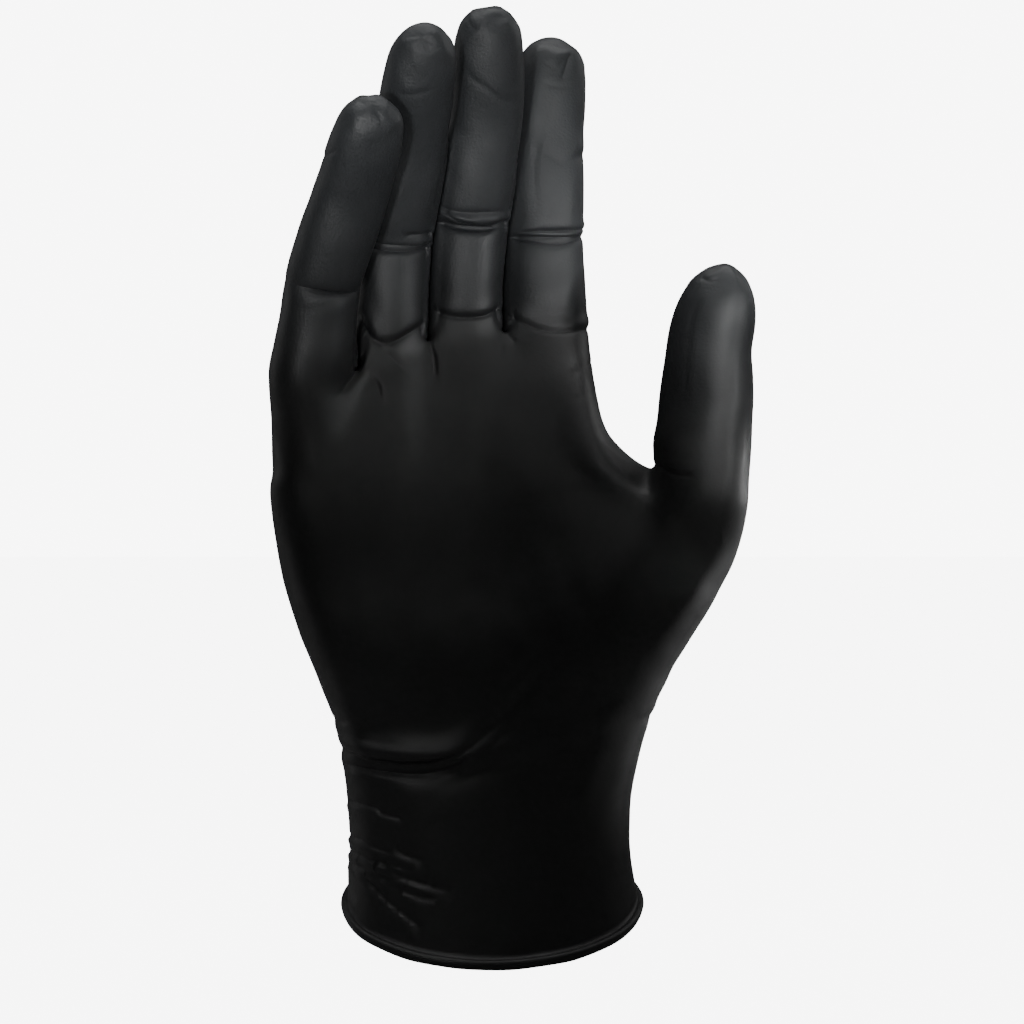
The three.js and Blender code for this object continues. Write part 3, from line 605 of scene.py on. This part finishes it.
def rounded(line):
    """A line through the given points without corners."""
    line = np.array(line, float)
    ends = np.concatenate([[2 * line[0] - line[1]], line, [2 * line[-1] - line[-2]]])
    t = np.arange(LINE_DETAIL)[:, None] / LINE_DETAIL
    pieces = []
    for a, b, c, d in zip(ends, ends[1:], ends[2:], ends[3:]):
        slope, bend, twist = c - a, 2 * a - 5 * b + 4 * c - d, 3 * b - a - 3 * c + d
        pieces.append(b + slope * t / 2 + bend * t**2 / 2 + twist * t**3 / 2)
    return np.concatenate([*pieces, line[-1:]])


def beside_line(line, places):
    """The distance from a line, positive above it or on its left, and the share of its length."""
    best = np.full(len(places), np.inf)
    side, share = np.zeros(len(places)), np.zeros(len(places))
    lengths = np.linalg.norm(np.diff(line, axis=0), axis=1)
    passed = 0
    for start, end, length in zip(line, line[1:], lengths):
        step = (end - start) / length
        from_start = places - start
        along = np.clip(from_start @ step, 0, length)
        away = np.linalg.norm(from_start - along[:, None] * step, axis=1)
        nearer = away < best
        turn = step[0] * from_start[:, 1] - step[1] * from_start[:, 0]
        best[nearer] = away[nearer]
        side[nearer] = np.sign(turn[nearer])
        share[nearer] = (passed + along[nearer]) / lengths.sum()
        passed += length
    return best * side, share


def folded(points, weights, normals, folds, facing):
    """How far folds move points outwards, and how much of a fold there is near them."""
    lift, detail = np.zeros(len(points)), np.zeros(len(points))
    places = picture_place(points)
    towards = smooth(-facing * normals[:, 1], *FACING_SIDE)
    for row in folds:
        fold = dict(zip(FOLD_COLUMNS, row))
        line = rounded(fold["line"])
        width, reach, roll = fold["width"], fold["reach"], fold["roll"]
        span = 2 * width + 3 * reach
        inside = np.all((places > line.min(axis=0) - span) & (places < line.max(axis=0) + span), axis=1)
        near = np.flatnonzero(inside & (towards > 0))
        distance, share = beside_line(line, places[near])
        own = weights[near, PARTS.index(fold["part"])] + weights[near, PARTS.index("palm")]
        amount = towards[near] * smooth(own, *OWN_SHARE)
        if fold["fade"]:
            amount = amount * smooth(share, 0, fold["fade"]) * smooth(1 - share, 0, fold["fade"])
        crease = np.exp(-((np.abs(distance) / width) ** CREASE_SHARPNESS))
        height = -fold["depth"] * crease
        if roll:
            place = np.sign(roll) * (width + ROLL_PLACE * reach)
            hump = np.exp(-(((distance - place) / reach) ** 2))
            height = height + abs(roll) * hump * (1 - crease)
        lift[near] += height * amount
        sharp = abs(fold["depth"]) / width + abs(roll) / reach / 2
        beside = np.exp(-((distance / (DETAIL_REACH * width)) ** 2))
        detail[near] = np.maximum(detail[near], amount * sharp * beside)
    return lift, detail


def undulation(points):
    """Soft swells all over, so that the film doesn't look drawn with a compass."""
    random = np.random.default_rng(WAVE_SEED)
    total = np.zeros(len(points))
    for _ in range(WAVES):
        way = unit(random.normal(size=3)) * 2 * math.pi / (WAVE_LENGTH * random.uniform(*WAVE_STRETCH))
        total += np.sin(points @ way + random.uniform(0, 2 * math.pi))
    return total * WAVE_HEIGHT / math.sqrt(WAVES / 2)


def crumple(points):
    """Irregular puckers where the film closes over each fingertip."""
    tips = [line(1)[0] for line in (*finger_lines, thumb_line)]
    away = np.min([np.linalg.norm(points - tip, axis=1) for tip in tips], axis=0)
    near = np.flatnonzero(away < 2 * CRUMPLE_REACH)
    fold = np.array([noise.noise(Vector(point) / CRUMPLE_LENGTH) for point in points[near].tolist()])
    total = np.zeros(len(points))
    fade = np.exp(-((away[near] / CRUMPLE_REACH) ** 2))
    total[near] = (CRUMPLE_LEVEL - np.abs(fold)) * CRUMPLE * fade
    return total


def relief(points, weights, normals):
    """How far points are lifted off the plain form, and how much of a fold there is near them."""
    front, front_detail = folded(points, weights, normals, FOLDS, 1)
    back, back_detail = folded(points, weights, normals, BACK_FOLDS, -1)
    lift = np.clip(front + back + crumple(points), -MOST_DEPTH, None)
    from_rim = np.min([np.linalg.norm(points - rim_point, axis=1) for rim_point in rim_points], axis=0)
    lift = (lift + undulation(points)) * smooth(from_rim, *RIM_FADE)
    rim_detail = RIM_DETAIL * (1 - smooth(from_rim, *RIM_REACH))
    return lift, np.max([front_detail, back_detail, rim_detail], axis=0)


class Skin:
    """The outside: points with part weights and directions, and quads that get finer near the folds."""

    def __init__(self, points, weights, normals, faces):
        self.points, self.weights, self.normals = points, weights, normals
        self.middles = {}
        self.done, self.live = [], faces

    def refine(self, least):
        """Splits each live quad with a fold in it into four."""
        corners = (a[self.live] for a in (self.points, self.weights, self.normals))
        centres, weights, normals = (a.mean(axis=1) for a in corners)
        _, detail = relief(centres, weights, unit(normals))
        chosen = detail > least
        self.done.append(self.live[~chosen])
        faces = self.live[chosen]
        a, b = faces, np.roll(faces, -1, axis=1)
        keys = np.stack([np.minimum(a, b).ravel(), np.maximum(a, b).ravel()], axis=1)
        edges, inverse = np.unique(keys, axis=0, return_inverse=True)
        face_edges = inverse.reshape(faces.shape)
        first = len(self.points)
        for i, (low, high) in enumerate(edges.tolist()):
            self.middles[low, high] = first + i
        centre = first + len(edges) + np.arange(len(faces))
        self.add(edges)
        self.add(faces)
        self.live = np.concatenate(quarters(faces, first + face_edges, centre))

    def add(self, corners):
        """Points midway between corners, on the curve that the corners' directions give."""
        middle = self.points[corners].mean(axis=1)
        way = middle[:, None] - self.points[corners]
        onto = (way * self.normals[corners]).sum(axis=2, keepdims=True) * self.normals[corners]
        self.points = np.concatenate([self.points, middle - onto.mean(axis=1) / 2])
        self.weights = np.concatenate([self.weights, self.weights[corners].mean(axis=1)])
        self.normals = np.concatenate([self.normals, unit(self.normals[corners].mean(axis=1))])

    def with_middles(self, face):
        """A face's corners, with the points that finer neighbours have put on its edges."""
        corners = []
        for a, b in zip(face, (*face[1:], face[0])):
            corners.append(a)
            corners += self.between(a, b)
        return corners

    def between(self, a, b):
        """The points on an edge between its ends, in order."""
        middle = self.middles.get((min(a, b), max(a, b)))
        if middle is None:
            return []
        return [*self.between(a, middle), middle, *self.between(middle, b)]


def settled(way, faces, rounds):
    """Directions evened out with their neighbours', so that what moves along them keeps clear of itself."""
    sides = np.concatenate([np.stack([faces[:, i], faces[:, i - 1]], axis=1) for i in range(4)])
    low, high = np.unique(np.sort(sides, axis=1), axis=0).T
    for _ in range(rounds):
        total = way.copy()
        np.add.at(total, low, way[high])
        np.add.at(total, high, way[low])
        way = unit(total)
    return way


# Steps of subdivision and rounds of evening out, for the outside, which is fine, and the coarser inside.
OUTSIDE_LEVELS, INSIDE_LEVELS = 3, 2
SETTLING_OUTSIDE, SETTLING_INSIDE = 3, 10
# How much of a fold a quad has to have to be split once and twice.
FINE, FINEST = 0.2, 0.66

outside, outside_net = refined(OUTSIDE_LEVELS)
inside, inside_net = refined(INSIDE_LEVELS)
outside_way = outwards(outside[:, :3], outside_net.faces)
skin_way = settled(outside_way, outside_net.faces, SETTLING_OUTSIDE)
inside_way = settled(outwards(inside[:, :3], inside_net.faces), inside_net.faces, SETTLING_INSIDE)
rim_out, rim_in = rim_of(outside_net), rim_of(inside_net)
rim_points = outside[rim_out, :3]
skin = Skin(outside[:, :3], np.clip(outside[:, 3:], 0, 1), skin_way, outside_net.faces)
skin.refine(FINE)
skin.refine(FINEST)
lift, _ = relief(skin.points, skin.weights, skin.normals)

# Neighbouring fingers lie against each other, with a hair's breadth between, and have weak folds there.
# Points do so as far as they belong to a finger, face sideways, face the neighbour and are near to it.
CLOSE_GAP = 0.12
FOLD_LEFT = 0.2
ON_FINGER = 0.3
SIDEWAYS = (0.55, 0.85)
FACING_OTHER = (0.2, 0.7)
CLOSE_REACH = (1.6, 2.8)
MOST_APART = 3.5
NEAREST = 4


def pressed(points, normals):
    """How far the sides of neighbouring fingers move to meet, and how much they touch."""
    shift, touch = np.zeros(len(points)), np.zeros(len(points))
    owner = np.argmax(skin.weights[:, :DIGITS], axis=1)
    sideways = smooth(np.abs(normals[:, 0]), *SIDEWAYS)
    on_finger = (skin.weights[:, : len(FINGERS)].max(axis=1) > ON_FINGER) & (sideways > 0)
    for low in range(len(FINGERS) - 1):
        sides = [np.flatnonzero(on_finger & (owner == k)) for k in (low, low + 1)]
        for own, other in (sides, sides[::-1]):
            tree = kdtree.KDTree(len(other))
            for i, point in enumerate(points[other].tolist()):
                tree.insert(point, i)
            tree.balance()
            for i in own.tolist():
                near = tree.find_n(points[i], NEAREST)
                if near[0][2] > MOST_APART:
                    continue
                others = other[[found[1] for found in near]]
                gap = float(np.mean((points[others] - points[i]) @ normals[i]))
                facing = -float(np.mean(normals[others] @ normals[i]))
                touch[i] = sideways[i] * smooth(facing, *FACING_OTHER) * (1 - smooth(gap, *CLOSE_REACH))
                shift[i] = (gap - CLOSE_GAP) / 2 * touch[i]
    return shift, touch


# Steps round the roll, from the film's end to the seam inside.
BEAD_STEPS = 17
# How far the rolled edge is thicker and thinner along it, and how often.
BEAD_WAVES, SLOW_WAVES, FAST_WAVES = 0.04, 5, 13
# The strands: their height, how close they lie, how they sway and ripple along the edge, and how often they
# ripple, and the shares of the way round the roll over which they begin and end.
STRANDS, STRAND_TWIST, STRAND_SWAY, STRAND_RIPPLE, RIPPLES = 0.05, 3.2, 2, 0.6, 7
STRANDS_BEGIN, STRANDS_END = (0, 0.25), (0.8, 1)


def bead_loops(points):
    """The rolled edge: loops of points round a circle, with the faint strands of the rolled film."""
    around = np.arange(len(rim_out)) / len(rim_out) * 2 * math.pi
    out = unit(outside_way[rim_out] * [1, 1, 0])
    waves = np.sin(SLOW_WAVES * around) + np.sin(FAST_WAVES * around + 1)
    radius = BEAD_RADIUS * (1 + BEAD_WAVES * waves / 2)
    sway, ripple = STRAND_SWAY * np.sin(around), STRAND_RIPPLE * np.sin(RIPPLES * around)
    loops = []
    for step in range(1, BEAD_STEPS + 1):
        share = step / BEAD_STEPS
        angle = mix(BEAD_START, -math.pi, share)
        strand = 1 + STRANDS * np.sin(STRAND_TWIST * angle + sway + ripple) * smooth(share, *STRANDS_BEGIN)
        strand = mix(strand, 1, smooth(share, *STRANDS_END))
        ring = points[rim_out] + out * (BEAD_RADIUS + radius * strand * math.cos(angle) - FILM)[:, None]
        ring[:, 2] += BEAD_RADIUS - BEAD_REACH + radius * strand * math.sin(angle)
        loops.append(ring)
    return loops


def film_mesh():
    """Points and faces of the whole film: outside, bead, inside and the seam between the last two."""
    shift, touch = pressed(skin.points, skin.normals)
    raised = lift * mix(1, FOLD_LEFT, touch) + shift
    points = skin.points + skin.normals * raised[:, None]
    faces = np.concatenate([*skin.done, skin.live]).tolist()

    # The bead, whose last loop the seam joins to the rim of the inside.
    blocks = [points]
    first = len(points)
    loops = [rim_out]
    for ring in bead_loops(skin.points):
        blocks.append(ring)
        loops.append(first + np.arange(len(ring)))
        first += len(ring)
    for low, high in zip(loops, loops[1:]):
        faces += np.stack([np.roll(low, -1), low, high, np.roll(high, -1)], axis=1).tolist()
    faces = [skin.with_middles(face) for face in faces]

    # The inside, and the seam.
    blocks.append(inside[:, :3] - inside_way * FILM)
    faces += (inside_net.faces[:, ::-1] + first).tolist()
    start = np.argmin(np.linalg.norm(rim_points - inside[rim_in[0], :3], axis=1))
    last = np.roll(loops[-1], -start).tolist()
    ratio = len(rim_out) // len(rim_in)
    for i in range(len(rim_in)):
        own, following = first + int(rim_in[i]), first + int(rim_in[(i + 1) % len(rim_in)])
        strip = [last[(i * ratio + k) % len(last)] for k in range(ratio + 1)]
        faces.append([own, following, *reversed(strip)])
    return np.concatenate(blocks), faces


def make_mesh(name, points, faces):
    mesh = bpy.data.meshes.new(name)
    mesh.from_pydata((points * MM).tolist(), [], faces)
    mesh.polygons.foreach_set("use_smooth", [True] * len(mesh.polygons))
    mesh.update()
    obj = bpy.data.objects.new(name, mesh)
    bpy.context.scene.collection.objects.link(obj)
    return obj


film_points, film_faces = film_mesh()
glove = make_mesh("nitrile_film", film_points, film_faces)

# How much grip texture and painted sheen there is at each point: most on the fingers' ends, and none on the
# palm. The painted sheen is a paler colour that stands in for the brighter light on the fingers.
GRIP_AND_SHEEN_RISE = (120, 215)
grip_and_painted_sheen = glove.data.attributes.new("grip_and_painted_sheen", "FLOAT", "POINT")
on_digit = skin.weights[:, :DIGITS].sum(axis=1)
grip_and_sheen_values = np.zeros(len(film_points), np.float32)
# The same value drives the real grain and the painted sheen, and it grows towards the fingers' ends.
grip_and_sheen_values[: len(on_digit)] = on_digit * smooth(skin.points[:, 2], *GRIP_AND_SHEEN_RISE)
grip_and_painted_sheen.data.foreach_set("value", grip_and_sheen_values)
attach(glove, "root")
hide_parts("nitrile_glove")


def node_of(tree, kind, **settings):
    node = tree.nodes.new(kind)
    for name, value in settings.items():
        setattr(node, name, value)
    return node


def mottling(tree, place, scale, detail):
    node = node_of(tree, "ShaderNodeTexNoise")
    node.inputs["Scale"].default_value = scale
    node.inputs["Detail"].default_value = detail
    tree.links.new(place, node.inputs["Vector"])
    return node.outputs["Fac"]


def between(tree, value, low, high, span=(0, 1)):
    """A value of a span brought between two numbers."""
    node = node_of(tree, "ShaderNodeMapRange")
    node.inputs["From Min"].default_value, node.inputs["From Max"].default_value = span
    node.inputs["To Min"].default_value = low
    node.inputs["To Max"].default_value = high
    tree.links.new(value, node.inputs["Value"])
    return node.outputs["Result"]


def bump(tree, height, distance, strength, under):
    node = node_of(tree, "ShaderNodeBump")
    node.inputs["Distance"].default_value = distance
    tree.links.new(height, node.inputs["Height"])
    tree.links.new(strength, node.inputs["Strength"])
    if under is not None:
        tree.links.new(under, node.inputs["Normal"])
    return node.outputs["Normal"]


def fresh_material(name):
    material = bpy.data.materials.new(name)
    material.use_nodes = True
    return material, material.node_tree, material.node_tree.nodes["Principled BSDF"]


# The film's colours: between the first two where it is smooth, and the third where it grips. The third is
# paler as painted sheen, standing in for the brighter light on the fingers.
SMOOTH_DARK, SMOOTH_PALE = (0.0026, 0.0027, 0.003, 1), (0.0045, 0.0048, 0.0053, 1)
GRIP_PALE_PAINTED_SHEEN = (0.026, 0.0285, 0.031, 1)
# The span of noise values that counts, and the scale and detail of the noise in colour and roughness.
NOISE_SPAN = (0.3, 0.7)
COLOUR_NOISE = (55, 3)
ROUGHNESS_NOISE = (160, 4)
ROUGHNESS = (0.48, 0.58)
IOR = 1.5
# The grain, fine and coarse: scale, detail, height in metres, and strength where it is smooth and grips.
GRAINS = [(1500, 2, 0.00018, (0.1, 0.6)), (420, 3, 0.0003, (0.06, 0.22))]


def nitrile_material():
    """Black film, with more grain where it grips, and paler there as painted sheen."""
    material, tree, shader = fresh_material("black_nitrile")
    place = node_of(tree, "ShaderNodeTexCoord").outputs["Object"]
    grip_and_sheen_value = node_of(tree, "ShaderNodeAttribute", attribute_name="grip_and_painted_sheen").outputs["Fac"]
    smooth_colour, colour = (node_of(tree, "ShaderNodeMix", data_type="RGBA") for _ in range(2))
    smooth_colour.inputs["A"].default_value = SMOOTH_DARK
    smooth_colour.inputs["B"].default_value = SMOOTH_PALE
    # The paler colour where it grips is painted sheen for the brighter light on the fingers.
    colour.inputs["B"].default_value = GRIP_PALE_PAINTED_SHEEN
    patches = between(tree, mottling(tree, place, *COLOUR_NOISE), 0, 1, NOISE_SPAN)
    tree.links.new(patches, smooth_colour.inputs["Factor"])
    tree.links.new(smooth_colour.outputs["Result"], colour.inputs["A"])
    tree.links.new(grip_and_sheen_value, colour.inputs["Factor"])
    tree.links.new(colour.outputs["Result"], shader.inputs["Base Color"])
    roughness = between(tree, mottling(tree, place, *ROUGHNESS_NOISE), *ROUGHNESS, NOISE_SPAN)
    tree.links.new(roughness, shader.inputs["Roughness"])
    shader.inputs["IOR"].default_value = IOR
    normal = None
    for scale, detail, height, strengths in GRAINS:
        strength = between(tree, grip_and_sheen_value, *strengths)
        normal = bump(tree, mottling(tree, place, scale, detail), height, strength, normal)
    tree.links.new(normal, shader.inputs["Normal"])
    return material


glove.data.materials.append(nitrile_material())


# The floor and the backdrop shine for the camera alone, and the glove gets the ambient light.
FLOOR_GREY, FLOOR_ROUGHNESS, FLOOR_GLOW = (0.3, 0.3, 0.3, 1), 0.9, 7.4
FLOOR_SIDE, FLOOR_NEAR, FLOOR_FAR = 6000, -3000, 9000
BACKDROP, AMBIENT = 8.0, 0.03
WHITE = (1, 1, 1, 1)


def floor_material():
    """A pale floor, which the camera sees as bright as the backdrop."""
    material, tree, shader = fresh_material("pale_floor")
    shader.inputs["Base Color"].default_value = FLOOR_GREY
    shader.inputs["Roughness"].default_value = FLOOR_ROUGHNESS
    shader.inputs["Emission Color"].default_value = WHITE
    seen = node_of(tree, "ShaderNodeLightPath").outputs["Is Camera Ray"]
    tree.links.new(between(tree, seen, 0, FLOOR_GLOW), shader.inputs["Emission Strength"])
    return material


near_side = [(-FLOOR_SIDE, FLOOR_NEAR, 0.0), (FLOOR_SIDE, FLOOR_NEAR, 0.0)]
far_side = [(FLOOR_SIDE, FLOOR_FAR, 0.0), (-FLOOR_SIDE, FLOOR_FAR, 0.0)]
floor = make_mesh("floor", np.array(near_side + far_side), [[0, 1, 2, 3]])
floor.data.materials.append(floor_material())

# The picture is square and as wide as the field, in the plane y = 0.
SENSOR = 36
camera = bpy.data.cameras.new("camera")
camera.sensor_width = SENSOR
camera.lens = SENSOR * -CAMERA[1] / FIELD
camera.clip_start, camera.clip_end = 0.01, 50
camera_object = bpy.data.objects.new("camera", camera)
camera_object.location = CAMERA * MM
camera_object.rotation_euler = (math.pi / 2, 0, 0)
bpy.context.scene.collection.objects.link(camera_object)
bpy.context.scene.camera = camera_object


def lamp(data, place, target):
    """A light at a place, turned to a target, that the camera doesn't see. Both are in metres."""
    obj = bpy.data.objects.new(data.name, data)
    obj.location = place
    obj.rotation_euler = (Vector(target) - Vector(place)).to_track_quat("-Z", "Y").to_euler()
    obj.visible_camera = False
    bpy.context.scene.collection.objects.link(obj)


def softbox(name, place, target, size, power):
    data = bpy.data.lights.new(name, "AREA")
    data.shape = "RECTANGLE"
    data.size, data.size_y = size
    data.energy = power
    lamp(data, place, target)


def spot(name, place, target, radius, angle, power):
    data = bpy.data.lights.new(name, "SPOT")
    data.shadow_soft_size = radius
    data.spot_size = math.radians(angle)
    data.spot_blend = 1
    data.energy = power
    lamp(data, place, target)


# Spots: name, place, target, radius, angle in degrees and power. Each lights one side of a few fingers, the
# thumb or the wrist, as the sheen in the photograph shows.
SPOTS = [
    ("high_left", (-0.32, -0.95, 0.42), (-0.05, 0, 0.215), 0.07, 8, 13),
    ("high_right", (0.25, -1.0, 0.38), (-0.02, 0, 0.22), 0.07, 10, 5),
    ("low_left", (-0.25, -1.0, 0.03), (-0.038, 0, 0.2), 0.07, 9, 34),
    ("low_right", (0.2, -1.0, 0.03), (-0.03, 0, 0.215), 0.07, 8, 14),
    ("little_root", (0.75, -0.65, 0.12), (-0.045, -0.02, 0.163), 0.07, 4.5, 34),
    ("thumb_left", (0.05, -1.0, 0.2), (0.08, -0.02, 0.18), 0.05, 5.2, 50),
    ("thumb_middle", (0.33, -0.95, 0.2), (0.08, -0.02, 0.18), 0.05, 5.4, 64),
    ("thumb_right", (0.82, -0.52, 0.17), (0.076, -0.02, 0.16), 0.05, 4.6, 52),
    ("thumb_ball", (0.75, 0.36, 0.17), (0.06, 0, 0.092), 0.025, 6, 44),
    ("wrist", (-0.35, -0.6, 0.5), (-0.045, 0, 0.018), 0.05, 5.5, 15),
]
# Soft boxes: name, place, target, width and height, and power.
SOFTBOXES = [
    ("top", (0, -0.05, 0.75), (0, 0, 0.2), (0.7, 0.5), 3),
    ("right_side", (0.5, 0.22, 0.42), (0.05, 0, 0.19), (0.3, 0.34), 0.5),
    ("left_side", (-0.6, 0.35, 0.25), (0, 0, 0.15), (0.25, 0.6), 0.35),
]
for row in SPOTS:
    spot(*row)
for row in SOFTBOXES:
    softbox(*row)

world = bpy.data.worlds.new("studio")
world.use_nodes = True
tree = world.node_tree
background = tree.nodes["Background"]
background.inputs["Color"].default_value = WHITE
seen = node_of(tree, "ShaderNodeLightPath").outputs["Is Camera Ray"]
tree.links.new(between(tree, seen, AMBIENT, BACKDROP), background.inputs["Strength"])
bpy.context.scene.world = world
